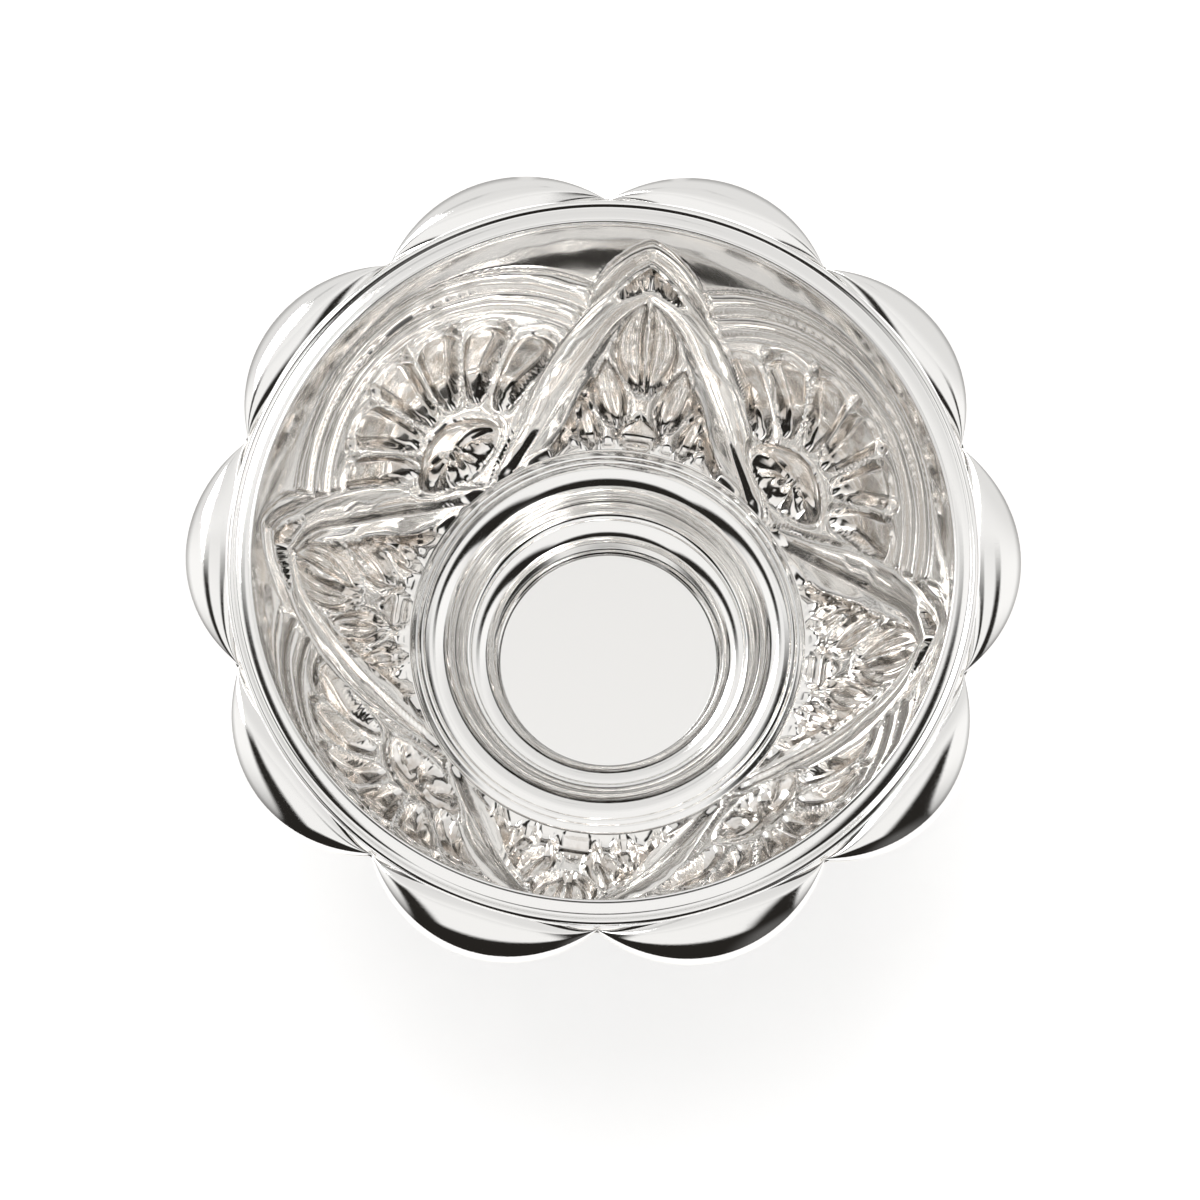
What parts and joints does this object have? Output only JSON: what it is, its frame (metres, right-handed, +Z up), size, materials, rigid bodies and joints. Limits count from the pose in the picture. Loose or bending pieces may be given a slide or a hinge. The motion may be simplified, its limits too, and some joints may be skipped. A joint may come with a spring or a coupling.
{
  "type": "pedestal bowl",
  "caption": "Deep silver bowl with a chased wall, a stepped well, a scalloped border of turned-down lobes and a hollow waisted foot.",
  "frame": {"origin": "on the table, under the middle of the foot", "axes": "+Z up along the bowl's axis, +X through the middle of one lobe"},
  "size_m": [0.24, 0.232, 0.1706],
  "materials": {
    "polished_silver": "polished",
    "chased_silver": "polished, chased in relief",
    "mirror_silver": "flat polished plate",
    "silver_wire": "drawn wire, polished"
  },
  "bodies": {
    "root": {"foot_rim": "polished_silver", "foot": "polished_silver", "foot_collar": "silver_wire", "well_plate": "mirror_silver", "well_step": "polished_silver", "seam_bead": "silver_wire", "bowl_wall": "chased_silver", "mouth_ring": "polished_silver", "lobed_border": "polished_silver", "edge_wire_01": "silver_wire", "edge_wire_02": "silver_wire", "edge_wire_03": "silver_wire", "edge_wire_04": "silver_wire", "edge_wire_05": "silver_wire", "edge_wire_06": "silver_wire", "edge_wire_07": "silver_wire", "edge_wire_08": "silver_wire", "edge_wire_09": "silver_wire", "edge_wire_10": "silver_wire"}
  },
  "joints": []
}
